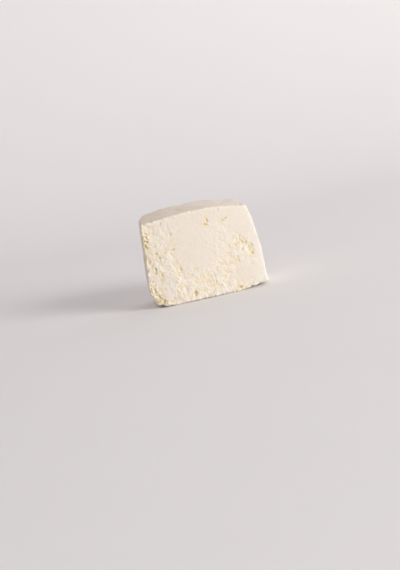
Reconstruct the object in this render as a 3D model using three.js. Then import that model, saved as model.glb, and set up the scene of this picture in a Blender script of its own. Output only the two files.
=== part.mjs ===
// A hand-cut block of white brined cheese, one solid, standing on its flat base.
// The front (-Y) is the broken, crumbly face, which bulges a little. The other sides are the smooth
// skin of the curd: a domed top, soft edges towards the back and two sides that draw in with height.
// Millimetres, +Z up, origin at the middle of the base.

import * as THREE from "three";
import { ImprovedNoise } from "three/addons/math/ImprovedNoise.js";
import { mergeVertices } from "three/addons/utils/BufferGeometryUtils.js";

// Driving dimensions
const BASE_WIDTH = 89.2; // along X at the foot
const DEPTH = 38; // along Y, from the broken face to the back
const CROWN_HEIGHT = 67; // along Z, at the crown of the top skin
const GRID = 3; // spacing of the surface points

// How the sides, the top and the face leave the plain box
const LEFT_DRAW = { most: 5, power: 1 }; // most at the crown's height, growing as a power of the height
const RIGHT_DRAW = { most: 7, power: 3 };
const FACE_BULGE = 1.8; // how far the middle of the broken face stands out
const CROWN_X = -4.5; // where the top is highest
const DOME_SAG = 5.2; // drop of the top from its crown to the right edge
const BACK_RISE_LEFT = 3; // how much higher the top is at the back than at the front
const BACK_RISE_RIGHT = 1.6;

// Edge radii: crisp round the broken face, soft at the back
const FRONT_RADIUS = 1.2;
const BACK_RADIUS = 7.5;
const FOOT_RADIUS = 1.6;
const FOOT_CRUMBLE = 2.2; // most that the foot of the broken face is crumbled away
const CRUMBLE_LENGTH = 9; // along X, from one crumbled stretch to the next

// The broken face: where the curd tore it lies back from the knife's plane
const TEAR_DEPTH = 0.9;
const TEAR_LUMP = 6; // size of the torn lumps
const TEAR_REACH = 5; // how far behind the face its relief dies out
const SKIN_WAVE = 0.5; // slow unevenness of every side
const SKIN_WAVE_LENGTH = 30;
const WAVE_RISE = 10; // height over which the upward waves grow from none at the base
const NOISE_SHIFT = 7.3; // sets the waves of the three directions apart

// Patches where the knife left the face smooth: centre and half-sizes, and the shares of the
// half-size between which a patch fades into the torn curd
const PATCH_FADE = [0.7, 1.2];
const SMOOTH_PATCHES = [
  { x: -7, z: 42, wide: 17, high: 20 },
  { x: 12, z: 59, wide: 36, high: 9 },
  { x: 41, z: 34, wide: 5, high: 32 },
];

// Openings between the curds on the broken face
const OPENINGS = [
  { x: 6.5, z: 56, radius: 3.2, depth: 1.4 },
  { x: 19.5, z: 55.5, radius: 3, depth: 1 },
  { x: 30, z: 35, radius: 5, depth: 1.5 },
  { x: 35.5, z: 28, radius: 4, depth: 1.4 },
  { x: 23.5, z: 25, radius: 4, depth: 1 },
  { x: -11.5, z: 6, radius: 4, depth: 1.5 },
  { x: 22.5, z: 2, radius: 4, depth: 1.6 },
  { x: -35, z: 27, radius: 5, depth: 1.3 },
  { x: -37, z: 50, radius: 5, depth: 1.3 },
];

// Curd broken away: what lies near a dent's centre is shifted, less and less up to its half-sizes
const vector = (...numbers) => new THREE.Vector3(...numbers);
const DENTS = [
  { centre: vector(-44, -19, 0), size: vector(14, 70, 15), shift: vector(4.7, 0, 0) }, // lower left side
  { centre: vector(-40, -19, 0), size: vector(16, 20, 10), shift: vector(0, 0, 2) }, // left foot
  { centre: vector(44, -19, 0), size: vector(26, 20, 10), shift: vector(0, 0, 2.2) }, // right foot
];

const CHEESE_COLOUR = 0xf0e2d0;
const HALF = new THREE.Vector3(BASE_WIDTH, DEPTH, CROWN_HEIGHT).divideScalar(2);
const { clamp, lerp, smoothstep } = THREE.MathUtils;
const perlin = new ImprovedNoise();

// Radius of the top and foot edges at a point of the plain box: soft at the back, crumbled at the
// foot of the broken face.
function rimRadius(point) {
  const towardsBack = smoothstep(point.y, 0, HALF.y);
  if (point.z > 0) return lerp(FRONT_RADIUS, BACK_RADIUS, towardsBack);
  const crumble = Math.abs(perlin.noise(point.x / CRUMBLE_LENGTH, NOISE_SHIFT, NOISE_SHIFT));
  return FOOT_RADIUS + FOOT_CRUMBLE * crumble * (1 - towardsBack);
}

// Carries a square corner, seen along its edge, to a quarter circle.
function squareToRound(away) {
  const reach = Math.max(Math.abs(away.x), Math.abs(away.y));
  return away.setLength(reach);
}

// The corner radius of the plan, and the nearest point of its core to a point.
function planCore(point) {
  const radius = point.y > 0 ? BACK_RADIUS : FRONT_RADIUS;
  const core = new THREE.Vector2(
    clamp(point.x, radius - HALF.x, HALF.x - radius),
    clamp(point.y, radius - HALF.y, HALF.y - radius),
  );
  return { radius, core };
}

// Rounds the four upright edges.
function roundPlan(point) {
  const { core } = planCore(point);
  const away = new THREE.Vector2(point.x, point.y).sub(core);
  if (away.x !== 0 && away.y !== 0) {
    squareToRound(away).add(core);
    point.set(away.x, away.y, point.z);
  }
}

// How far a point lies inside the rounded plan, and the way out of it.
function planInset(point) {
  const { radius, core } = planCore(point);
  const away = new THREE.Vector2(point.x, point.y).sub(core);
  if (away.lengthSq() > 0) {
    return { inset: radius - away.length(), outward: away.normalize() };
  }
  const gapX = HALF.x - Math.abs(point.x);
  const gapY = HALF.y - Math.abs(point.y);
  if (gapX < gapY) return { inset: gapX, outward: new THREE.Vector2(Math.sign(point.x), 0) };
  return { inset: gapY, outward: new THREE.Vector2(0, Math.sign(point.y)) };
}

// Rounds the edges round the top and the foot.
function roundRims(point) {
  const radius = rimRadius(point);
  const { inset, outward } = planInset(point);
  const below = HALF.z - Math.abs(point.z);
  if (inset < radius && below < radius) {
    const away = squareToRound(new THREE.Vector2(radius - inset, radius - below));
    const inward = radius - away.x - inset;
    point.x -= outward.x * inward;
    point.y -= outward.y * inward;
    point.z = Math.sign(point.z) * (HALF.z - radius + away.y);
  }
}

// Draws the two sides in, bends the top into its dome and bulges the face. The base stays at height 0.
function drawIn(point) {
  const share = (point.z + HALF.z) / CROWN_HEIGHT;
  const toFront = (HALF.y - point.y) / DEPTH;
  point.y -= FACE_BULGE * toFront * (1 - (point.x / HALF.x) ** 2);
  const sag = DOME_SAG * ((point.x - CROWN_X) / (HALF.x - CROWN_X)) ** 2;
  const backRise = lerp(BACK_RISE_LEFT, BACK_RISE_RIGHT, (point.x + HALF.x) / BASE_WIDTH);
  point.z = share * (CROWN_HEIGHT - sag + backRise * (1 - toFront));
  const draw = point.x < 0 ? LEFT_DRAW : RIGHT_DRAW;
  const inward = draw.most * (point.z / CROWN_HEIGHT) ** draw.power;
  point.x *= 1 - inward / HALF.x;
}

// 1 where the face is torn and crumbly, 0 on the smooth patches.
function tornShare(x, z) {
  const calm = SMOOTH_PATCHES.map((patch) => {
    const distance = Math.hypot((x - patch.x) / patch.wide, (z - patch.z) / patch.high);
    return 1 - smoothstep(distance, ...PATCH_FADE);
  });
  return 1 - Math.max(...calm);
}

// How far the broken face lies behind the knife's plane.
function faceDepth(x, z) {
  const lumps = 0.5 + perlin.noise(x / TEAR_LUMP, NOISE_SHIFT, z / TEAR_LUMP);
  let depth = TEAR_DEPTH * tornShare(x, z) * lumps;
  for (const opening of OPENINGS) {
    const distance = Math.hypot(x - opening.x, z - opening.z) / opening.radius;
    depth += opening.depth * (1 - smoothstep(distance, 0, 1));
  }
  return depth;
}

// Presses the broken face's relief in, fading it out behind the face.
function tearFace(point) {
  const nearFace = 1 - smoothstep(point.y, -HALF.y + FRONT_RADIUS, -HALF.y + TEAR_REACH);
  point.y += nearFace * faceDepth(point.x, point.z);
}

// Slow waves over all sides. The base stays flat.
function waveSkin(point) {
  const at = point.clone().divideScalar(SKIN_WAVE_LENGTH);
  const lift = smoothstep(point.z, 0, WAVE_RISE);
  point.x += SKIN_WAVE * perlin.noise(at.x + NOISE_SHIFT, at.y, at.z);
  point.y += SKIN_WAVE * perlin.noise(at.x, at.y + NOISE_SHIFT, at.z);
  point.z += lift * SKIN_WAVE * perlin.noise(at.x, at.y, at.z + NOISE_SHIFT);
}

// Shifts the surface where curd is broken away.
function breakOff(point) {
  for (const { centre, size, shift } of DENTS) {
    const away = point.clone().sub(centre).divide(size).length();
    point.addScaledVector(shift, 1 - smoothstep(away, 0, 1));
  }
}

// From the plain box to the block, in this order
const STEPS = [roundPlan, roundRims, drawIn, tearFace, waveSkin, breakOff];

// The block's surface: a gridded box whose points are carried to the block's form.
function blockGeometry() {
  const segments = [BASE_WIDTH, DEPTH, CROWN_HEIGHT].map((size) => Math.round(size / GRID));
  const box = new THREE.BoxGeometry(BASE_WIDTH, DEPTH, CROWN_HEIGHT, ...segments);
  box.deleteAttribute("normal");
  box.deleteAttribute("uv");
  const geometry = mergeVertices(box);
  const position = geometry.getAttribute("position");
  const point = new THREE.Vector3();
  for (let i = 0; i < position.count; i++) {
    point.fromBufferAttribute(position, i);
    for (const step of STEPS) step(point);
    position.setXYZ(i, point.x, point.y, Math.max(0, point.z));
  }
  geometry.computeBoundingBox();
  const middle = geometry.boundingBox.getCenter(new THREE.Vector3());
  geometry.translate(-middle.x, -middle.y, 0);
  geometry.computeVertexNormals();
  return geometry;
}

const cheese = new THREE.MeshStandardMaterial({
  color: CHEESE_COLOUR,
  roughness: 0.6,
  metalness: 0,
});

const block = new THREE.Mesh(blockGeometry(), cheese);
block.name = "cheese_block";

const part = new THREE.Group();
part.add(block);

export default part;
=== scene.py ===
"""A hand-cut block of white brined cheese: its broken face, its smooth curd skin and its crumbs.

Sizes are millimetres in the part's frame, unless a name says otherwise. Meshes are brought to metres
as the last step of their making.
"""

import logging
import math
import random
from dataclasses import dataclass, field
from enum import Enum
from functools import cached_property

import bmesh
import bpy
from mathutils import Euler, Matrix, Vector, kdtree, noise


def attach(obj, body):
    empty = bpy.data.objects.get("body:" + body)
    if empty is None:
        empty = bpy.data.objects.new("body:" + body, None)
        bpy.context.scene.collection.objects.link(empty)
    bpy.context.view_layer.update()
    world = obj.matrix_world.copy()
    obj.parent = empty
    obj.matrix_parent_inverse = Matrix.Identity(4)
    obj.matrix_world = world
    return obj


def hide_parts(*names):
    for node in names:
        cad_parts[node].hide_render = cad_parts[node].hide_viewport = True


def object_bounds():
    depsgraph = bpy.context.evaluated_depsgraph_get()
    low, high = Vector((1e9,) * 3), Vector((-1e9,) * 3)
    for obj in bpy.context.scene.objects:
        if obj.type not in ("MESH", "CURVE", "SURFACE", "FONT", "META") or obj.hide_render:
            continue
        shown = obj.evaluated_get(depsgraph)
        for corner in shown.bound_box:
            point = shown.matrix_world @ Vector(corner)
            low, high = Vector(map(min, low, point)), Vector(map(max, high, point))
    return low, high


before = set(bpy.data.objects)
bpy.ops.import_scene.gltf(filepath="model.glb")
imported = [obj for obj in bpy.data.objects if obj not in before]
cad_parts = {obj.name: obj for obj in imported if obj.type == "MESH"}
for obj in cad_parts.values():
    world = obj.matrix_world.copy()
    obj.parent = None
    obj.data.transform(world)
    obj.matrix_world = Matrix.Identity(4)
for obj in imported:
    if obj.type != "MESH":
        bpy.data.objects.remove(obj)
CAD_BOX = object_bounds()

LOG = logging.getLogger("cheese")
METRES = 0.001  # one millimetre
FULL = (0.0, 1.0)  # the span of a share
BODY = "root"
NODE = "cheese_block"
MIX_FIRST, MIX_SECOND, MIX_RESULT = 6, 7, 2  # colour sockets of a mix node
SMALL_BIAS = 2  # power of a random share that makes most scattered things small

Colour = tuple[float, float, float]
Triple = tuple[float, float, float]
Span = tuple[float, float]
Layers = tuple[float, float, int]  # roughness, step and number of a pattern's finer layers


class Channel(Enum):
    """Point attributes that steer the curd's finish."""

    TORN = "torn"
    HOLLOW = "hollow"
    SKIN = "skin"
    CROWN = "crown"
    RIM = "rim"


class Pattern(Enum):
    """Procedural patterns of the finishes, by their node type."""

    CLOUD = "ShaderNodeTexNoise"
    CELLS = "ShaderNodeTexVoronoi"


def ease(low: float, high: float, value: float) -> float:
    """Rise smoothly from 0 at low to 1 at high.

    Args:
        low: Where the rise starts.
        high: Where the rise ends.
        value: The value to place on the rise.

    Returns:
        A share from 0 to 1.
    """
    share = min(1.0, max(0.0, (value - low) / (high - low)))
    return share * share * (3.0 - 2.0 * share)


def blend(first: float, second: float, share: float) -> float:
    """Mix two numbers."""
    return first + (second - first) * share


def square_to_round(away: Vector) -> Vector:
    """Carry a square corner, seen along its edge, to a quarter circle."""
    return away.normalized() * max(abs(away.x), abs(away.y))


def in_half_sizes(point: Vector, centre: Triple, size: Triple) -> Vector:
    """Measure a point from a centre, in half-sizes."""
    return Vector((p - c) / s for p, c, s in zip(point, centre, size))


def lump_level(hearts: list[Vector], share: float) -> float:
    """Give the level of a lump, which nears its neighbour's as the share falls to 0 at their border."""
    own, other = (noise.cell(heart) for heart in hearts[:2])
    return blend((own + other) / 2.0, own, share)


@dataclass(frozen=True)
class Dent:
    """A place where curd is broken away: all that lies near it is shifted, fading out to its rim."""

    centre: Triple
    size: Triple
    shift: Triple

    def share(self, point: Vector) -> float:
        """Give 1 at the dent's middle and 0 at its rim."""
        return 1.0 - ease(*FULL, in_half_sizes(point, self.centre, self.size).length)


@dataclass(frozen=True)
class BlockForm:
    """The block's large form, worked out from a plain box that is centred on the origin."""

    base_width: float = 89.2
    depth: float = 38.0
    crown_height: float = 67.0
    left_draw: float = 5.0
    left_curve: float = 1.0
    right_draw: float = 7.0
    right_curve: float = 3.0
    crown_x: float = -4.5
    dome_sag: float = 5.2
    back_rise_left: float = 3.0
    back_rise_right: float = 1.6
    face_bulge: float = 1.8
    front_radius: float = 1.2
    back_radius: float = 7.5
    foot_radius: float = 1.6
    foot_crumble: float = 2.2
    crumble_length: float = 9.0
    wave: float = 0.5
    wave_length: float = 30.0
    wave_rise: float = 10.0
    noise_shift: float = 7.3
    dents: tuple[Dent, ...] = (
        Dent((-44.0, -19.0, 0.0), (14.0, 70.0, 15.0), (4.7, 0.0, 0.0)),
        Dent((-40.0, -19.0, 0.0), (16.0, 20.0, 10.0), (0.0, 0.0, 2.0)),
        Dent((44.0, -19.0, 0.0), (26.0, 20.0, 10.0), (0.0, 0.0, 2.2)),
    )
    bare_from: float = 0.2
    bare_full: float = 0.5

    @cached_property
    def half(self) -> Vector:
        """Half the plain box."""
        return Vector((self.base_width, self.depth, self.crown_height)) / 2.0

    def rim_radius(self, point: Vector) -> float:
        """Give the radius of the top or foot edge at a point of the plain box.

        Args:
            point: A point of the plain box.

        Returns:
            A radius that is small at the broken face and large at the back of the top.
        """
        to_back = ease(0.0, self.half.y, point.y)
        if point.z > 0.0:
            return blend(self.front_radius, self.back_radius, to_back)
        crumble = abs(noise.noise(Vector((point.x / self.crumble_length, self.noise_shift, 0.0))))
        return self.foot_radius + self.foot_crumble * crumble * (1.0 - to_back)

    def plan_core(self, point: Vector) -> tuple[float, Vector]:
        """Find the upright edges' radius and the core of the plan.

        Args:
            point: A point of the box.

        Returns:
            The radius at that end of the plan, and the core's point that is nearest.
        """
        radius = self.back_radius if point.y > 0.0 else self.front_radius
        wide = self.half.x - radius
        deep = self.half.y - radius
        return radius, Vector((min(wide, max(-wide, point.x)), min(deep, max(-deep, point.y))))

    def round_plan(self, point: Vector) -> None:
        """Round the four upright edges.

        Args:
            point: A point of the plain box, which is moved.
        """
        _, core = self.plan_core(point)
        away = point.to_2d() - core
        if away.x and away.y:
            point.xy = core + square_to_round(away)

    def plan_inset(self, point: Vector) -> tuple[float, Vector]:
        """Find how far a point lies inside the rounded plan, and the way out of it.

        Args:
            point: A point inside the plan or on it.

        Returns:
            The distance to the plan's outline, and the outward direction there.
        """
        radius, core = self.plan_core(point)
        away = point.to_2d() - core
        if away.length > 0.0:
            return radius - away.length, away.normalized()
        gap_x = self.half.x - abs(point.x)
        gap_y = self.half.y - abs(point.y)
        if gap_x < gap_y:
            return gap_x, Vector((math.copysign(1.0, point.x), 0.0))
        return gap_y, Vector((0.0, math.copysign(1.0, point.y)))

    def round_rims(self, point: Vector) -> None:
        """Round the edges round the top and the foot.

        Args:
            point: A point of the box with rounded upright edges, which is moved.
        """
        radius = self.rim_radius(point)
        below = self.half.z - abs(point.z)
        if below >= radius:
            return
        inset, outward = self.plan_inset(point)
        if inset < radius:
            away = square_to_round(Vector((radius - inset, radius - below)))
            point.xy -= outward * (radius - away.x - inset)
            point.z = math.copysign(self.half.z - radius + away.y, point.z)

    def draw_in(self, point: Vector) -> None:
        """Draw the sides in, bend the top into its dome and bulge the face, over a flat base.

        Args:
            point: A point of the rounded box, which is moved.
        """
        share = (point.z + self.half.z) / self.crown_height
        to_front = (self.half.y - point.y) / self.depth
        point.y -= self.face_bulge * to_front * (1.0 - (point.x / self.half.x) ** 2)
        sag = self.dome_sag * ((point.x - self.crown_x) / (self.half.x - self.crown_x)) ** 2
        across = (point.x + self.half.x) / self.base_width
        back_rise = blend(self.back_rise_left, self.back_rise_right, across)
        rise = back_rise * (1.0 - to_front)
        point.z = share * (self.crown_height - sag + rise)
        height = point.z / self.crown_height
        if point.x < 0.0:
            inward = self.left_draw * height ** self.left_curve
        else:
            inward = self.right_draw * height ** self.right_curve
        point.x *= 1.0 - inward / self.half.x

    def wave_skin(self, point: Vector) -> None:
        """Add slow waves to all sides and leave the base flat.

        Args:
            point: A point of the surface, which is moved.
        """
        wave = self.wave * noise.noise_vector(point / self.wave_length)
        wave.z *= ease(0.0, self.wave_rise, point.z)
        point += wave

    def break_off(self, point: Vector) -> None:
        """Take away the curd that is broken off."""
        for dent in self.dents:
            point += dent.share(point) * Vector(dent.shift)

    def carry(self, point: Vector) -> None:
        """Carry a point of the plain box to the block's form.

        Args:
            point: The point, which is moved.
        """
        self.round_plan(point)
        self.round_rims(point)
        self.draw_in(point)
        self.wave_skin(point)
        self.break_off(point)
        point.z = max(0.0, point.z)

    def bare(self, point: Vector) -> float:
        """Give 1 where curd is broken off, and 0 away from it."""
        return ease(self.bare_from, self.bare_full, max(dent.share(point) for dent in self.dents))

    def rim_gap(self, point: Vector) -> float:
        """Find how far a point of the plain box lies from the outline of the broken face.

        Args:
            point: The point.

        Returns:
            The distance.
        """
        behind = point.y + self.half.y
        inside = min(self.half.x - abs(point.x), self.half.z - abs(point.z))
        return max(behind, inside)


@dataclass(frozen=True)
class SmoothPatch:
    """A patch of the broken face that the knife left smooth."""

    x: float
    z: float
    wide: float
    high: float
    calm: float = 1.0
    fade: Span = (0.4, 1.3)

    def share(self, x: float, z: float) -> float:
        """Give how smooth the patch leaves a place of the face."""
        distance = math.hypot((x - self.x) / self.wide, (z - self.z) / self.high)
        return self.calm * (1.0 - ease(*self.fade, distance))


@dataclass(frozen=True)
class Opening:
    """An opening between the curds of the broken face, with its half-sizes."""

    x: float
    z: float
    wide: float
    high: float
    depth: float
    stain: float


@dataclass(frozen=True)
class Pit:
    """An opening in the curd, pressed in along the surface's normal."""

    centre: Triple
    size: Triple
    depth: float
    stain: float
    ragged: float = 0.75
    ragged_length: float = 1.5
    wall: Span = (0.2, 1.0)
    lip_rise: Span = (0.75, 1.15)
    lip_fall: Span = (1.2, 1.9)
    lip_height: float = 0.4
    lip_length: float = 1.2
    halo: Span = (0.4, 1.9)
    halo_share: float = 0.5
    reach: float = 2.0

    def distance(self, point: Vector) -> float:
        """Give a point's distance from the pit's middle: 0 there, about 1 at its ragged rim."""
        away = in_half_sizes(point, self.centre, self.size)
        return (away + self.ragged * noise.noise_vector(point / self.ragged_length)).length

    def hollow(self, distance: float) -> float:
        """Give the depth at a distance."""
        return self.depth * (1.0 - ease(*self.wall, distance))

    def lip(self, distance: float, point: Vector) -> float:
        """Give the height of the crumbs that stand round the pit."""
        ring = ease(*self.lip_rise, distance) * (1.0 - ease(*self.lip_fall, distance))
        return self.lip_height * self.depth * ring * max(0.0, noise.noise(point / self.lip_length))

    def tint(self, distance: float) -> float:
        """Find the stain at a distance: a dark heart in a wide, weak halo.

        Args:
            distance: The distance from the pit's middle.

        Returns:
            The stain, from 0 to 1.
        """
        heart = 1.0 - ease(*self.wall, distance)
        halo = 1.0 - ease(*self.halo, distance)
        return self.stain * blend(heart, halo, self.halo_share)


@dataclass
class Relief:
    """What the surface's detail does to each point of the block: its depth, and the channels' values."""

    rim: list[float]
    depth: list[float] = field(default_factory=list)
    torn: list[float] = field(default_factory=list)
    hollow: list[float] = field(default_factory=list)
    skin: list[float] = field(default_factory=list)
    crown: list[float] = field(default_factory=list)


@dataclass(frozen=True)
class BrokenFace:
    """The relief of the broken face: torn curd, knife-smoothed patches, openings and a worn rim."""

    face_from: float = 0.3
    face_full: float = 0.75
    warp: float = 1.7
    warp_length: float = 3.0
    fine_warp: float = 0.4
    fine_warp_length: float = 0.9
    lump: float = 4.2
    lump_depth: float = 0.2
    lump_step: float = 0.3
    lump_blend: float = 0.3
    grain: float = 1.2
    grain_depth: float = 0.11
    rough: float = 0.13
    rough_length: float = 2.6
    rough_layers: Layers = (0.65, 2.1, 4)
    crevice_width: float = 0.3
    crevice_level: Span = (-0.2, 0.6)
    sunk: float = 0.4
    sunk_length: float = 9.0
    drag_zone: SmoothPatch = SmoothPatch(16.0, 37.0, 14.0, 18.0)
    drag_angle: float = -52.0
    drag_long: float = 5.0
    drag_across: float = 1.3
    drag_depth: float = 0.55
    drag_from: float = 0.05
    drag_wander: float = 1.5
    drag_wander_length: float = 4.0
    smear: float = 0.06
    smear_length: float = 1.4
    smear_layers: Layers = (0.8, 2.0, 3)
    patch_wander: float = 3.5
    patch_wander_length: float = 5.0
    rim_reach: float = 2.6
    chip_depth: float = 1.5
    chip_length: float = 2.4
    chip_from: float = 0.05
    chip_fine: float = 0.3
    chip_fine_length: float = 0.9
    chip_most: float = 1.1
    wear: float = 0.7
    wear_left: Span = (-30.0, -42.0)
    wear_foot: Span = (10.0, 0.0)
    opening_reach: float = 5.0
    patches: tuple[SmoothPatch, ...] = (
        # Middle, upper strip, upper right, right edge
        SmoothPatch(-4.0, 42.0, 19.0, 22.0),
        SmoothPatch(10.0, 60.5, 40.0, 10.0),
        SmoothPatch(33.0, 50.0, 14.0, 12.0),
        SmoothPatch(41.5, 34.0, 5.0, 34.0),
        # Where the knife dragged, lower right
        SmoothPatch(14.0, 40.0, 13.0, 15.0, 0.6),
        SmoothPatch(31.0, 13.0, 16.0, 9.5, 0.85),
    )
    openings: tuple[Opening, ...] = (
        # Upper strip
        Opening(-26.0, 62.0, 1.0, 0.9, 0.7, 0.9),
        Opening(8.0, 57.5, 1.1, 2.5, 0.85, 0.9),
        Opening(6.0, 54.5, 2.3, 1.4, 0.85, 1.0),
        Opening(18.5, 55.0, 2.3, 1.2, 0.55, 0.65),
        Opening(21.5, 56.0, 1.1, 1.1, 0.65, 0.85),
        # Cluster at the right
        Opening(30.0, 36.0, 1.7, 1.5, 1.05, 1.0),
        Opening(32.5, 35.0, 1.6, 0.8, 0.65, 0.75),
        Opening(29.0, 39.5, 1.2, 2.6, 0.55, 0.5),
        Opening(25.0, 35.0, 2.3, 0.9, 0.5, 0.6),
        Opening(36.5, 32.5, 1.1, 2.3, 0.65, 0.55),
        Opening(36.0, 26.0, 1.3, 2.1, 0.95, 1.0),
        Opening(30.5, 30.5, 2.4, 0.9, 0.5, 0.5),
        Opening(34.0, 30.5, 1.9, 2.8, 0.4, 0.4),
        Opening(20.5, 33.5, 1.0, 1.2, 0.35, 0.4),
        Opening(20.0, 29.0, 1.0, 2.0, 0.4, 0.35),
        Opening(24.0, 24.5, 2.6, 2.1, 0.4, 0.4),
        Opening(25.0, 22.5, 1.2, 1.0, 0.4, 0.5),
        # Below the middle and at the foot
        Opening(11.5, 23.0, 2.2, 1.8, 0.35, 0.3),
        Opening(14.5, 16.0, 1.6, 1.5, 0.35, 0.3),
        Opening(5.5, 11.5, 0.8, 1.6, 0.65, 0.6),
        Opening(-11.0, 6.0, 1.8, 2.4, 1.1, 0.95),
        Opening(22.5, 3.0, 2.0, 1.5, 1.1, 1.0),
        # Left of the middle
        Opening(-20.5, 52.5, 1.1, 1.5, 0.4, 0.4),
        Opening(-21.5, 41.5, 2.6, 1.0, 0.55, 0.6),
        Opening(-27.5, 40.0, 1.9, 1.3, 0.5, 0.5),
        Opening(-18.5, 26.0, 1.4, 2.8, 0.55, 0.55),
        Opening(-21.0, 21.5, 1.4, 1.4, 0.4, 0.35),
        Opening(-11.5, 19.5, 2.0, 1.4, 0.35, 0.3),
        # Two worn stretches of the left edge
        Opening(-41.0, 53.0, 4.5, 7.0, 1.3, 0.55),
        Opening(-42.0, 15.0, 4.5, 6.0, 1.1, 0.45),
        # Along the left edge
        Opening(-38.0, 57.0, 1.6, 1.8, 0.75, 0.75),
        Opening(-39.0, 52.5, 1.7, 2.6, 0.9, 0.8),
        Opening(-39.5, 47.5, 1.6, 2.8, 0.95, 0.95),
        Opening(-33.5, 41.0, 1.6, 1.3, 0.9, 0.95),
        Opening(-32.0, 36.5, 1.2, 2.4, 0.8, 0.7),
        Opening(-40.0, 36.5, 1.5, 3.2, 0.9, 0.75),
        Opening(-36.5, 29.5, 1.0, 2.5, 0.9, 0.75),
        Opening(-37.0, 26.5, 1.2, 1.5, 0.9, 0.8),
        Opening(-32.5, 25.0, 1.4, 2.0, 0.8, 0.75),
        # Broken corner at the lower left
        Opening(-40.0, 13.0, 1.4, 2.2, 0.7, 0.7),
        Opening(-38.0, 8.0, 2.3, 3.0, 1.1, 1.0),
        Opening(-35.0, 4.5, 2.0, 2.6, 1.05, 0.95),
        Opening(-39.5, 5.0, 1.3, 1.8, 0.7, 0.8),
        Opening(-30.5, 3.5, 1.6, 1.4, 0.65, 0.5),
    )

    def facing(self, normal: Vector) -> float:
        """Give how much a surface that looks along this normal belongs to the broken face."""
        return ease(self.face_from, self.face_full, -normal.y)

    def torn_share(self, point: Vector) -> float:
        """Give 1 where the face is torn and 0 where the knife left it smooth.

        Args:
            point: A point of the face.

        Returns:
            The torn share, with wandering borders.
        """
        wander = self.patch_wander * noise.noise_vector(point / self.patch_wander_length)
        x = point.x + wander.x
        z = point.z + wander.z
        return 1.0 - max(patch.share(x, z) for patch in self.patches)

    def curd(self, point: Vector) -> tuple[float, float]:
        """Work out the torn curd at a point: rounded lumps at uneven levels that carry finer grains.

        Args:
            point: A point of the surface.

        Returns:
            The depth, and how much of a crevice the point lies in.
        """
        warped = point + self.warp * noise.noise_vector(point / self.warp_length)
        warped += self.fine_warp * noise.noise_vector(point / self.fine_warp_length)
        gaps, hearts = noise.voronoi(warped / self.lump)
        apart = gaps[1] - gaps[0]
        level = lump_level(hearts, ease(0.0, self.lump_blend, apart))
        grain = noise.voronoi(warped / self.grain)[0][0]
        rough = noise.fractal(point / self.rough_length, *self.rough_layers)
        sunk = max(0.0, noise.noise(point / self.sunk_length))
        depth = self.lump_depth * gaps[0] ** 2 + self.lump_step * level + self.sunk * sunk
        depth += self.grain_depth * grain ** 2 - self.rough * rough
        low = ease(*self.crevice_level, level - rough)
        crevice = low * (1.0 - ease(0.0, self.crevice_width, apart))
        return depth, crevice

    def dragged(self, point: Vector) -> float:
        """Work out a smooth patch: fine smears, and torn streaks where the knife dragged.

        Args:
            point: A point of the face.

        Returns:
            The depth.
        """
        angle = math.radians(self.drag_angle)
        along = point.x * math.cos(angle) + point.z * math.sin(angle)
        across = point.z * math.cos(angle) - point.x * math.sin(angle)
        wander = self.drag_wander * noise.noise(point / self.drag_wander_length)
        streak = noise.noise(Vector((along / self.drag_long, (across + wander) / self.drag_across, 0.0)))
        torn = max(0.0, streak - self.drag_from) * self.drag_zone.share(point.x, point.z)
        smear = self.smear * noise.fractal(point / self.smear_length, *self.smear_layers)
        return self.drag_depth * torn + smear

    def chipped(self, point: Vector, near_rim: float) -> float:
        """Work out how deep the face's rim is chipped, most at the left and along the foot.

        Args:
            point: A point of the surface.
            near_rim: 1 on the rim, 0 away from it.

        Returns:
            The depth.
        """
        wear = self.wear * (1.0 + ease(*self.wear_left, point.x) + ease(*self.wear_foot, point.z))
        chip = self.chip_depth * max(0.0, noise.noise(point / self.chip_length) - self.chip_from)
        fine = self.chip_fine * abs(noise.noise(point / self.chip_fine_length))
        return near_rim * min(self.chip_most, wear * (chip + fine))

    def pits(self, front: float) -> list[Pit]:
        """List the face's openings as pits.

        Args:
            front: The Y of the knife's plane.

        Returns:
            One pit for each opening.
        """
        deep = self.opening_reach
        return [Pit((o.x, front, o.z), (o.wide, deep, o.high), o.depth, o.stain) for o in self.openings]


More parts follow.
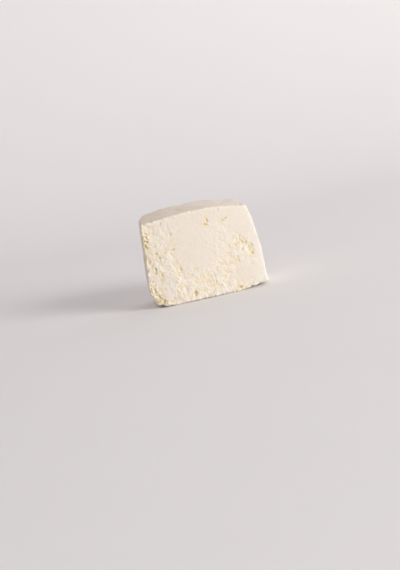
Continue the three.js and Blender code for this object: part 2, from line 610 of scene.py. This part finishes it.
@dataclass(frozen=True)
class CurdSkin:
    """The relief of the smooth skin: soft dents, seams between grown-together lumps, small openings."""

    dent: float = 0.3
    dent_length: float = 12.0
    ripple: float = 0.06
    ripple_length: float = 1.7
    ripple_layers: Layers = (0.9, 2.0, 3)
    lump: float = 23.0
    lump_step: float = 0.22
    warp: float = 3.0
    warp_length: float = 10.0
    seam_width: float = 0.9
    seam_depth: float = 0.5
    shoulder_width: float = 4.0
    shoulder_depth: float = 0.3
    shoulder_least: float = 0.3
    seam_length: float = 13.0
    seam_opened: Span = (-0.15, 0.35)
    pit_count: int = 40
    seam_pit_count: int = 45
    pit_radius: Span = (0.4, 1.5)
    pit_depth: Span = (0.3, 1.0)
    pit_stain: Span = (0.2, 0.7)
    pit_uneven: Span = (0.7, 1.5)
    pit_lowest: float = 1.0
    pure_from: float = 0.9
    crown_tilt: Span = (0.2, 0.7)
    seed: int = 11

    def depth(self, point: Vector) -> tuple[float, float]:
        """Work out the skin's dents and seams at a point.

        Args:
            point: A point of the surface.

        Returns:
            The depth, and how much of an open seam the point lies in.
        """
        dent = self.dent * noise.noise(point / self.dent_length)
        ripple = self.ripple * noise.fractal(point / self.ripple_length, *self.ripple_layers)
        warped = point + self.warp * noise.noise_vector(point / self.warp_length)
        gaps, hearts = noise.voronoi(warped / self.lump)
        border = (gaps[1] - gaps[0]) * self.lump / 2.0
        beyond = ease(0.0, self.shoulder_width, border)
        level = lump_level(hearts, beyond)
        opened = ease(*self.seam_opened, noise.noise(point / self.seam_length))
        seam = (1.0 - ease(0.0, self.seam_width, border)) * opened
        shoulder = (1.0 - beyond) * blend(self.shoulder_least, 1.0, opened)
        seams = self.seam_depth * seam + self.shoulder_depth * shoulder + self.lump_step * level
        return dent + ripple + seams, seam

    def pits(self, spots: list[Vector], seams: list[Vector]) -> list[Pit]:
        """Scatter small openings over the skin and along its seams.

        Args:
            spots: Points of the skin to choose from.
            seams: Those of them that lie in a seam.

        Returns:
            The pits, most of them small.
        """
        draw = random.Random(self.seed)
        found = []
        for spot in draw.sample(spots, self.pit_count) + draw.sample(seams, self.seam_pit_count):
            share = draw.random() ** SMALL_BIAS
            radius = blend(*self.pit_radius, share)
            size = tuple(radius * draw.uniform(*self.pit_uneven) for _ in range(3))
            depth = blend(*self.pit_depth, share)
            found.append(Pit(tuple(spot), size, depth, blend(*self.pit_stain, share)))
        return found


@dataclass(frozen=True)
class Crumb:
    """A crumb of curd that clings to the surface."""

    centre: Vector
    along: Vector
    radius: float
    height: float
    stretch: float = 0.45
    ragged: float = 0.6
    ragged_length: float = 0.8

    def lift(self, point: Vector) -> float:
        """Find how far the crumb raises a point.

        Args:
            point: A point of the surface.

        Returns:
            The height, 0 outside the crumb.
        """
        away = (point - self.centre) / self.radius
        away -= self.stretch * away.dot(self.along) * self.along
        away += self.ragged * noise.noise_vector(point / self.ragged_length)
        return self.height * math.sqrt(max(0.0, 1.0 - away.length_squared))


@dataclass(frozen=True)
class CurdCrumbs:
    """Crumbs that cling to the broken face, most of them along its rim and where it is torn."""

    count: int = 280
    radius: Span = (0.45, 1.1)
    height: Span = (0.25, 0.65)
    reach: float = 2.2
    whitening: float = 0.5
    face_from: float = 0.4
    smooth_share: float = 0.1
    stray: float = 0.07
    stray_power: int = 3
    seed: int = 23

    def likely(self, torn: float, rim: float) -> float:
        """Give how likely a place of the face carries a crumb."""
        return rim * blend(self.smooth_share, 1.0, torn) + self.stray * torn ** self.stray_power

    def scatter(self, spots: list[Vector], weights: list[float]) -> list[Crumb]:
        """Scatter the crumbs.

        Args:
            spots: Points of the broken face.
            weights: How likely each of them carries a crumb.

        Returns:
            The crumbs, most of them small.
        """
        draw = random.Random(self.seed)
        found = []
        for spot in draw.choices(spots, weights, k=self.count):
            radius = blend(*self.radius, draw.random() ** SMALL_BIAS)
            along = Vector([draw.gauss(0.0, 1.0) for _ in range(3)]).normalized()
            found.append(Crumb(spot, along, radius, radius * draw.uniform(*self.height)))
        return found


@dataclass(frozen=True)
class FineRelief:
    """Relief that is too fine for the mesh."""

    size: float
    strength: float
    depth: float


class NodeSheet:
    """Lays out the nodes of one material on Object coordinates in millimetres."""

    def __init__(self, name: str) -> None:
        """Start a material that reads its place.

        Args:
            name: The material's name.
        """
        self.material = bpy.data.materials.new(name)
        self.material.use_nodes = True
        self.tree = self.material.node_tree
        self.tree.nodes.clear()
        place = self.add("ShaderNodeTexCoord")
        scale = self.add("ShaderNodeVectorMath")
        scale.operation = "SCALE"
        scale.inputs["Scale"].default_value = 1.0 / METRES
        self.link(place.outputs["Object"], scale.inputs[0])
        self.place = scale.outputs[0]

    def add(self, kind: str) -> bpy.types.Node:
        """Add a node of this type."""
        return self.tree.nodes.new(kind)

    def link(self, source: bpy.types.NodeSocket, target: bpy.types.NodeSocket) -> None:
        """Join two sockets."""
        self.tree.links.new(source, target)

    def channel(self, channel: Channel) -> bpy.types.NodeSocket:
        """Read one of the piece's own point attributes.

        Args:
            channel: The attribute.

        Returns:
            Its value.
        """
        node = self.add("ShaderNodeAttribute")
        node.attribute_name = channel.value
        return node.outputs["Fac"]

    def across(self) -> bpy.types.NodeSocket:
        """Read the place along X, from left to right.

        Returns:
            The place.
        """
        node = self.add("ShaderNodeSeparateXYZ")
        self.link(self.place, node.inputs[0])
        return node.outputs[0]

    def pattern(self, kind: Pattern, size: float, detail: float = 2.0) -> bpy.types.NodeSocket:
        """Add a pattern.

        Args:
            kind: The pattern.
            size: The size of its features.
            detail: How many finer layers a cloud carries.

        Returns:
            The pattern's value.
        """
        node = self.add(kind.value)
        node.inputs["Scale"].default_value = 1.0 / size
        if kind is Pattern.CLOUD:
            node.inputs["Detail"].default_value = detail
        self.link(self.place, node.inputs["Vector"])
        return node.outputs[0]

    def span(self, value: bpy.types.NodeSocket, source: Span, target: Span) -> bpy.types.NodeSocket:
        """Map a value from one span to another.

        Args:
            value: The value.
            source: Its span.
            target: The span that it is carried to, where it is held.

        Returns:
            The mapped value.
        """
        node = self.add("ShaderNodeMapRange")
        self.link(value, node.inputs["Value"])
        for name, number in zip(("From Min", "From Max", "To Min", "To Max"), (*source, *target)):
            node.inputs[name].default_value = number
        return node.outputs["Result"]

    def times(self, first: bpy.types.NodeSocket, second: bpy.types.NodeSocket) -> bpy.types.NodeSocket:
        """Multiply two values.

        Args:
            first: A value.
            second: Another value.

        Returns:
            Their product.
        """
        node = self.add("ShaderNodeMath")
        node.operation = "MULTIPLY"
        self.link(first, node.inputs[0])
        self.link(second, node.inputs[1])
        return node.outputs[0]

    def mix(self, share: bpy.types.NodeSocket, first: Colour | bpy.types.NodeSocket,
            second: Colour) -> bpy.types.NodeSocket:
        """Mix two colours.

        Args:
            share: The share of the second colour.
            first: A colour, or the socket that gives it.
            second: A colour.

        Returns:
            The mixed colour.
        """
        node = self.add("ShaderNodeMix")
        node.data_type = "RGBA"
        self.link(share, node.inputs[0])
        if isinstance(first, tuple):
            node.inputs[MIX_FIRST].default_value = (*first, 1.0)
        else:
            self.link(first, node.inputs[MIX_FIRST])
        node.inputs[MIX_SECOND].default_value = (*second, 1.0)
        return node.outputs[MIX_RESULT]

    def bump(self, height: bpy.types.NodeSocket, relief: FineRelief,
             below: bpy.types.NodeSocket | None = None) -> bpy.types.NodeSocket:
        """Turn a height into a normal.

        Args:
            height: The height, from 0 to 1.
            relief: How deep it is and how strongly it shows.
            below: A normal that this one lies on.

        Returns:
            The normal.
        """
        node = self.add("ShaderNodeBump")
        node.inputs["Strength"].default_value = relief.strength
        node.inputs["Distance"].default_value = relief.depth * METRES
        self.link(height, node.inputs["Height"])
        if below is not None:
            self.link(below, node.inputs["Normal"])
        return node.outputs["Normal"]

    def surface(self, settings: dict[str, object]) -> bpy.types.Node:
        """Add the surface shader.

        Args:
            settings: Values for its sockets, by name.

        Returns:
            The shader's node, joined to the material's output.
        """
        shader = self.add("ShaderNodeBsdfPrincipled")
        for name, value in settings.items():
            shader.inputs[name].default_value = value
        output = self.add("ShaderNodeOutputMaterial")
        self.link(shader.outputs["BSDF"], output.inputs["Surface"])
        return shader


@dataclass(frozen=True)
class Mottle:
    """A cloudy pattern, and what a part of its range is spread to."""

    size: float
    detail: float
    source: Span
    target: Span

    def value(self, sheet: NodeSheet) -> bpy.types.NodeSocket:
        """Lay the pattern out."""
        return sheet.span(sheet.pattern(Pattern.CLOUD, self.size, self.detail), self.source, self.target)


@dataclass(frozen=True)
class CurdFinish:
    """Moist white curd: creamy, whiter on crumbs and rim; yellow in hollows, partly whey stain and partly
    painted shade in torn crevices; painted lighter at the right end; darker skin that is partly its own
    tone and partly painted shade, strongest on top and at the left.
    """

    cream: Colour = (0.872, 0.799, 0.706)
    deep_cream: Colour = (0.852, 0.774, 0.672)
    torn_cream: Colour = (0.903, 0.824, 0.738)
    crumb_white: Colour = (0.925, 0.869, 0.797)
    # Painted light: the right end of the block is painted whiter where the key light falls on it.
    painted_right_light: Colour = (0.87, 0.845, 0.785)
    # Yellow whey colour of damp curd and pit halos; in the torn crevices it is also painted shade.
    whey_and_shade: Colour = (0.85, 0.735, 0.51)
    ochre: Colour = (0.72, 0.525, 0.265)
    # Skin colour: partly the skin's own warmer tone, partly painted shade; mixed in fully where the skin
    # faces up, weakly on the sides.
    skin: Colour = (0.80, 0.67, 0.565)
    skin_stain: Colour = (0.77, 0.645, 0.51)
    # Painted shade: the skin darkens and browns towards the left side, which faces away from the key light.
    painted_left_shade: Colour = (0.72, 0.585, 0.45)
    cloud: Mottle = Mottle(13.0, 3.0, (0.35, 0.65), (0.0, 1.0))
    fleck: Mottle = Mottle(2.4, 4.0, (0.4, 0.7), (0.0, 0.5))
    damp: Mottle = Mottle(5.0, 1.5, (0.48, 0.68), (0.0, 0.55))
    grains: Mottle = Mottle(2.2, 2.0, (0.42, 0.68), (0.0, 0.75))
    mottle: Mottle = Mottle(3.5, 5.0, (0.35, 0.7), (0.3, 1.0))
    stain: Mottle = Mottle(9.0, 4.0, (0.5, 0.75), (0.0, 0.6))
    # Where the painted light at the right end starts and ends, and how strong it gets.
    painted_right_light_x: Span = (33.0, 42.0)
    painted_right_light_share: Span = (0.0, 0.5)
    # Share of the painted skin shade, from the sides to the upward-facing top.
    skin_shade_by_tilt: Span = (0.4, 1.0)
    # Where the painted shade on the left side starts and ends, and how strong it gets.
    painted_left_shade_x: Span = (-22.0, -43.0)
    painted_left_shade_share: Span = (0.0, 0.75)
    rim_from: Span = (0.1, 0.9)
    rim_share: Span = (0.0, 0.5)
    whey_and_shade_from: Span = (0.0, 0.5)
    ochre_from: Span = (0.5, 1.0)
    scatter: float = 0.7
    scatter_length: float = 1.0
    scatter_radius: Triple = (1.0, 0.82, 0.6)
    specular: float = 0.3
    roughness: Span = (0.62, 0.5)
    fine: FineRelief = FineRelief(0.5, 0.5, 0.08)
    fine_detail: float = 3.0
    pores: FineRelief = FineRelief(1.3, 0.25, 0.12)
    pore_wall: Span = (0.0, 0.35)

    def colour(self, sheet: NodeSheet) -> bpy.types.NodeSocket:
        """Lay out the curd's colour.

        Args:
            sheet: The material's sheet.

        Returns:
            The colour.
        """
        torn = sheet.channel(Channel.TORN)
        hollow = sheet.channel(Channel.HOLLOW)
        skin = sheet.channel(Channel.SKIN)
        rim = sheet.channel(Channel.RIM)
        # Painted shade on the skin: full on its top, in part on its sides.
        skin_shade_share = sheet.times(skin, sheet.span(sheet.channel(Channel.CROWN), FULL, self.skin_shade_by_tilt))
        flesh = sheet.mix(self.cloud.value(sheet), self.cream, self.deep_cream)
        flesh = sheet.mix(self.fleck.value(sheet), flesh, self.torn_cream)
        flesh = sheet.mix(torn, flesh, self.torn_cream)
        flesh = sheet.mix(sheet.times(torn, self.damp.value(sheet)), flesh, self.whey_and_shade)
        flesh = sheet.mix(sheet.times(torn, self.grains.value(sheet)), flesh, self.crumb_white)
        # Painted light: towards the right end the colour is mixed to a whiter one.
        flesh = sheet.mix(sheet.span(sheet.across(), self.painted_right_light_x, self.painted_right_light_share), flesh, self.painted_right_light)
        # Mottled painted shade on the skin, with some of the skin's own warmer tone.
        flesh = sheet.mix(sheet.times(skin_shade_share, self.mottle.value(sheet)), flesh, self.skin)
        flesh = sheet.mix(sheet.times(skin, self.stain.value(sheet)), flesh, self.skin_stain)
        # Painted shade on the skin, growing towards the left.
        painted_left_shade = sheet.span(sheet.across(), self.painted_left_shade_x, self.painted_left_shade_share)
        flesh = sheet.mix(sheet.times(skin_shade_share, painted_left_shade), flesh, self.painted_left_shade)
        flesh = sheet.mix(sheet.span(rim, self.rim_from, self.rim_share), flesh, self.crumb_white)
        # Yellow in hollows: real stain in pits and seams, partly painted shade in the torn crevices.
        flesh = sheet.mix(sheet.span(hollow, self.whey_and_shade_from, FULL), flesh, self.whey_and_shade)
        return sheet.mix(sheet.span(hollow, self.ochre_from, FULL), flesh, self.ochre)

    def material(self, name: str) -> bpy.types.Material:
        """Make the material.

        Args:
            name: Its name.

        Returns:
            The material.
        """
        sheet = NodeSheet(name)
        shader = sheet.surface({
            "Subsurface Weight": self.scatter,
            "Subsurface Radius": self.scatter_radius,
            "Subsurface Scale": self.scatter_length * METRES,
            "Specular IOR Level": self.specular,
        })
        sheet.link(self.colour(sheet), shader.inputs["Base Color"])
        gloss = sheet.span(sheet.channel(Channel.SKIN), FULL, self.roughness)
        sheet.link(gloss, shader.inputs["Roughness"])
        grain = sheet.pattern(Pattern.CLOUD, self.fine.size, self.fine_detail)
        pores = sheet.span(sheet.pattern(Pattern.CELLS, self.pores.size), self.pore_wall, FULL)
        normal = sheet.bump(grain, self.fine)
        sheet.link(sheet.bump(pores, self.pores, normal), shader.inputs["Normal"])
        return sheet.material


@dataclass(frozen=True)
class FloorFinish:
    """Plain pale floor."""

    light: Colour = (0.91, 0.886, 0.89)
    shade: Colour = (0.89, 0.866, 0.87)
    cloud_size: float = 120.0
    roughness: float = 0.9
    specular: float = 0.1

    def material(self) -> bpy.types.Material:
        """Make the material.

        Returns:
            The material.
        """
        sheet = NodeSheet("pale_floor")
        shader = sheet.surface({"Roughness": self.roughness, "Specular IOR Level": self.specular})
        cloud = sheet.pattern(Pattern.CLOUD, self.cloud_size)
        sheet.link(sheet.mix(cloud, self.light, self.shade), shader.inputs["Base Color"])
        return sheet.material


def finished(name: str, bm: bmesh.types.BMesh, material: bpy.types.Material) -> bpy.types.Object:
    """Turn a mesh in millimetres into an object in metres.

    Args:
        name: The object's name.
        bm: The mesh, which is freed.
        material: The object's only material.

    Returns:
        The object, at the origin, in the scene.
    """
    bmesh.ops.scale(bm, vec=(METRES,) * 3, verts=bm.verts)
    for face in bm.faces:
        face.smooth = True
    mesh = bpy.data.meshes.new(name)
    bm.to_mesh(mesh)
    bm.free()
    mesh.materials.append(material)
    made = bpy.data.objects.new(name, mesh)
    bpy.context.scene.collection.objects.link(made)
    return made


def write_channel(mesh: bpy.types.Mesh, channel: Channel, values: list[float]) -> None:
    """Store a value for each point of a mesh."""
    mesh.attributes.new(channel.value, "FLOAT", "POINT").data.foreach_set("value", values)


@dataclass
class CheeseBlock:
    """The block: its form, with the relief of the broken face, the skin and the clinging crumbs on it."""

    form: BlockForm
    face: BrokenFace
    skin: CurdSkin
    crumbs: CurdCrumbs
    grid: float = 0.7
    fine_band: float = 3.0
    # Crevices of the torn curd are tinted towards the whey colour: partly the curd's own colour, partly
    # painted shade.
    crevice_whey_and_shade: float = 0.45
    seam_tint: float = 0.3
    seed: int = 2

    def cells(self, axis: int) -> int:
        """Give how many cells the coarse grid has along an axis."""
        return round(2.0 * self.form.half[axis] / self.grid)

    def gridded_box(self) -> bmesh.types.BMesh:
        """Make the plain box with a grid on its sides, twice as fine on and round the front.

        Returns:
            The box.
        """
        bm = bmesh.new()
        bmesh.ops.create_cube(bm, size=2.0)
        bmesh.ops.scale(bm, vec=self.form.half, verts=bm.verts)
        for axis in range(3):
            along = [e for e in bm.edges if abs((e.verts[0].co - e.verts[1].co)[axis]) > self.grid]
            bmesh.ops.subdivide_edges(bm, edges=along, cuts=self.cells(axis) - 1, use_grid_fill=True)
        front = self.fine_band - self.form.half.y
        near = [e for e in bm.edges if all(v.co.y < front for v in e.verts)]
        bmesh.ops.subdivide_edges(bm, edges=near, cuts=1, use_grid_fill=True)
        return bm

    def settle(self, bm: bmesh.types.BMesh) -> None:
        """Set the form's middle over the origin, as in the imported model.

        Args:
            bm: The form, which is moved.
        """
        lows = [min(v.co[axis] for v in bm.verts) for axis in range(2)]
        highs = [max(v.co[axis] for v in bm.verts) for axis in range(2)]
        middle = [(low + high) / 2.0 for low, high in zip(lows, highs)]
        bmesh.ops.translate(bm, vec=(-middle[0], -middle[1], 0.0), verts=bm.verts)

    def relief(self, bm: bmesh.types.BMesh, rims: list[float]) -> Relief:
        """Work out the surface's detail for each point of the form.

        Args:
            bm: The form.
            rims: How near each point lies to the rim of the broken face, from 0 to 1.

        Returns:
            The relief.
        """
        made = Relief(rims)
        for vert, rim in zip(bm.verts, rims):
            facing = self.face.facing(vert.normal)
            bare = self.form.bare(vert.co)
            torn = max(facing * self.face.torn_share(vert.co), bare)
            smooth = max(0.0, facing - torn)
            skin = 1.0 - max(facing, bare)
            depth = self.face.chipped(vert.co, rim) if rim else 0.0
            hollow = 0.0
            if torn > 0.0:
                curd, crevice = self.face.curd(vert.co)
                depth += torn * curd
                # Partly painted shade: the torn curd's crevices are darkened towards yellow.
                hollow += self.crevice_whey_and_shade * torn * crevice
            if smooth > 0.0:
                depth += smooth * self.face.dragged(vert.co)
            if skin > 0.0:
                dent, seam = self.skin.depth(vert.co)
                depth += skin * dent
                hollow += self.seam_tint * skin * seam
            made.depth.append(depth)
            made.torn.append(torn)
            made.hollow.append(hollow)
            made.skin.append(skin)
            # How much the skin faces up; this steers the painted shade on the top.
            made.crown.append(skin * ease(*self.skin.crown_tilt, vert.normal.z))
        return made

    def pits(self, bm: bmesh.types.BMesh, relief: Relief) -> list[Pit]:
        """List all pits of the face and of the skin.

        Args:
            bm: The form.
            relief: Its relief.

        Returns:
            The pits.
        """
        front = min(v.co.y for v in bm.verts)
        high = [v for v in bm.verts if v.co.z > self.skin.pit_lowest]
        skin = [v for v in high if relief.skin[v.index] > self.skin.pure_from]
        seams = [v.co for v in skin if relief.hollow[v.index] > self.seam_tint / 2.0]
        return self.face.pits(front) + self.skin.pits([v.co for v in skin], seams)

    def point_tree(self, bm: bmesh.types.BMesh) -> kdtree.KDTree:
        """Sort the form's points by place.

        Args:
            bm: The form.

        Returns:
            The tree to look the points up in.
        """
        tree = kdtree.KDTree(len(bm.verts))
        for vert in bm.verts:
            tree.insert(vert.co, vert.index)
        tree.balance()
        return tree

    def press_pits(self, bm: bmesh.types.BMesh, relief: Relief, tree: kdtree.KDTree) -> None:
        """Deepen the relief where the pits are, and raise crumbs round them.

        Args:
            bm: The form.
            relief: The relief to change.
            tree: The form's points.
        """
        for pit in self.pits(bm, relief):
            for place, index, _ in tree.find_range(Vector(pit.centre), pit.reach * max(pit.size)):
                distance = pit.distance(place)
                relief.depth[index] += pit.hollow(distance) - pit.lip(distance, place)
                relief.hollow[index] = max(relief.hollow[index], pit.tint(distance))

    def cling_crumbs(self, bm: bmesh.types.BMesh, relief: Relief, tree: kdtree.KDTree) -> None:
        """Raise the crumbs that cling to the broken face.

        Args:
            bm: The form.
            relief: The relief to change.
            tree: The form's points.
        """
        face = [v for v in bm.verts if relief.skin[v.index] < 1.0 - self.crumbs.face_from]
        weights = [self.crumbs.likely(relief.torn[v.index], relief.rim[v.index]) for v in face]
        lifts = [0.0] * len(bm.verts)
        for crumb in self.crumbs.scatter([v.co for v in face], weights):
            for place, index, _ in tree.find_range(crumb.centre, self.crumbs.reach * crumb.radius):
                lifts[index] = max(lifts[index], crumb.lift(place))
        relief.depth = [depth - lift for depth, lift in zip(relief.depth, lifts)]
        whitening = self.crumbs.whitening
        relief.rim = [max(rim, whitening * lift) for rim, lift in zip(relief.rim, lifts)]

    def build(self) -> bpy.types.Object:
        """Build the block.

        Returns:
            The finished piece.
        """
        noise.seed_set(self.seed)
        bm = self.gridded_box()
        reach = self.face.rim_reach
        rims = [1.0 - ease(0.0, reach, self.form.rim_gap(v.co)) for v in bm.verts]
        for vert in bm.verts:
            self.form.carry(vert.co)
        self.settle(bm)
        bm.normal_update()
        bm.verts.index_update()
        relief = self.relief(bm, rims)
        tree = self.point_tree(bm)
        self.press_pits(bm, relief, tree)
        self.cling_crumbs(bm, relief, tree)
        moves = [-relief.depth[v.index] * v.normal for v in bm.verts]
        for vert, move in zip(bm.verts, moves):
            vert.co += move
            vert.co.z = max(0.0, vert.co.z)
        piece = finished("cheese_curd", bm, CurdFinish().material("moist_curd"))
        for channel in Channel:
            write_channel(piece.data, channel, getattr(relief, channel.value))
        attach(piece, BODY)
        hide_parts(NODE)
        return piece


@dataclass
class PhotoCamera:
    """The camera, placed by a point of the block and its pixel in the picture."""

    azimuth: float = -2.8
    elevation: float = 11.0
    roll: float = 12.2
    distance: float = 1000.0
    focal_px: float = 1350.0
    frame_px: tuple[int, int] = (400, 570)
    sensor_width: float = 36.0
    anchor: Triple = (0.0, -19.0, 0.0)
    anchor_px: Span = (212.0, 297.5)

    def build(self) -> None:
        """Build the camera and make it the scene's."""
        data = bpy.data.cameras.new("photo_camera")
        data.sensor_width = self.sensor_width
        data.lens = self.focal_px * self.sensor_width / max(self.frame_px)
        turn = Euler((0.0, 0.0, math.radians(self.azimuth))).to_matrix()
        tilt = Euler((math.radians(90.0 - self.elevation), 0.0, 0.0)).to_matrix()
        roll = Euler((0.0, 0.0, math.radians(-self.roll))).to_matrix()
        axes = turn @ tilt @ roll
        across = (self.anchor_px[0] - self.frame_px[0] / 2.0) / self.focal_px
        upward = (self.frame_px[1] / 2.0 - self.anchor_px[1]) / self.focal_px
        sight = axes @ Vector((across, upward, -1.0))
        place = (Vector(self.anchor) - self.distance * sight) * METRES
        camera = bpy.data.objects.new("photo_camera", data)
        camera.matrix_world = Matrix.Translation(place) @ axes.to_4x4()
        bpy.context.scene.collection.objects.link(camera)
        bpy.context.scene.camera = camera


@dataclass(frozen=True)
class SoftLight:
    """A large soft lamp that looks at the block."""

    name: str
    azimuth: float
    elevation: float
    distance: float
    size: float
    power: float
    colour: Colour = (1.0, 1.0, 1.0)

    def build(self, target: Vector) -> None:
        """Build the lamp.

        Args:
            target: The point that it looks at, in metres.
        """
        data = bpy.data.lights.new(self.name, "AREA")
        data.shape = "DISK"
        data.size = self.size
        data.energy = self.power
        data.color = self.colour
        side = math.radians(self.azimuth)
        up = math.radians(self.elevation)
        back = Vector((math.sin(side) * math.cos(up), -math.cos(side) * math.cos(up), math.sin(up)))
        lamp = bpy.data.objects.new(self.name, data)
        lamp.location = target + back * self.distance
        lamp.rotation_euler = back.to_track_quat("Z", "Y").to_euler()
        bpy.context.scene.collection.objects.link(lamp)


@dataclass
class Studio:
    """The pale floor that runs up into a backdrop, and the soft light."""

    floor_half: float = 3000.0
    wall_from: float = 350.0
    wall_radius: float = 350.0
    wall_top: float = 2400.0
    wall_steps: int = 24
    weld: float = 0.1
    ambient: Colour = (1.0, 0.985, 0.985)
    ambient_strength: float = 0.4
    lights: tuple[SoftLight, ...] = (
        SoftLight("key_lamp", 46.0, 18.0, 3.0, 1.4, 63.0, (1.0, 0.985, 0.965)),
    )

    def build_floor(self) -> bpy.types.Object:
        """Build the floor and the backdrop as one bent sheet.

        Returns:
            The floor.
        """
        bm = bmesh.new()
        ends = [bm.verts.new((x, -self.floor_half, 0.0)) for x in (-self.floor_half, self.floor_half)]
        edge = [bm.edges.new(ends)]
        edge = self.pull(bm, edge, (0.0, self.floor_half + self.wall_from, 0.0))
        turned = bmesh.ops.spin(
            bm, geom=edge, cent=(0.0, self.wall_from, self.wall_radius), axis=(1.0, 0.0, 0.0),
            angle=math.pi / 2.0, steps=self.wall_steps,
        )
        edge = [e for e in turned["geom_last"] if isinstance(e, bmesh.types.BMEdge)]
        self.pull(bm, edge, (0.0, 0.0, self.wall_top))
        bmesh.ops.remove_doubles(bm, verts=bm.verts, dist=self.weld)
        bmesh.ops.recalc_face_normals(bm, faces=bm.faces)
        floor = finished("floor", bm, FloorFinish().material())
        return floor

    def pull(self, bm: bmesh.types.BMesh, edges: list[bmesh.types.BMEdge],
             move: Triple) -> list[bmesh.types.BMEdge]:
        """Extrude edges.

        Args:
            bm: The floor's mesh.
            edges: The edges.
            move: How far they go.

        Returns:
            The edges at the far end.
        """
        made = bmesh.ops.extrude_edge_only(bm, edges=edges)["geom"]
        bmesh.ops.translate(bm, vec=move, verts=[g for g in made if isinstance(g, bmesh.types.BMVert)])
        return [g for g in made if isinstance(g, bmesh.types.BMEdge)]

    def build_light(self, target: Vector) -> None:
        """Build the lamps and the even light from all round.

        Args:
            target: The point that the lamps look at, in metres.
        """
        for light in self.lights:
            light.build(target)
        world = bpy.data.worlds.new("soft_room")
        world.use_nodes = True
        background = world.node_tree.nodes["Background"]
        background.inputs["Color"].default_value = (*self.ambient, 1.0)
        background.inputs["Strength"].default_value = self.ambient_strength
        bpy.context.scene.world = world
        bpy.context.scene.view_settings.view_transform = "Standard"


def report(piece: bpy.types.Object) -> None:
    """Log a piece's size."""
    LOG.info("%s: %d faces", piece.name, len(piece.data.polygons))


def main() -> None:
    """Build the pieces in order, then the studio and the camera."""
    logging.basicConfig(level=logging.INFO)
    report(CheeseBlock(BlockForm(), BrokenFace(), CurdSkin(), CurdCrumbs()).build())
    studio = Studio()
    report(studio.build_floor())
    studio.build_light((CAD_BOX[0] + CAD_BOX[1]) / 2.0)
    PhotoCamera().build()


if __name__ == "__main__":
    main()
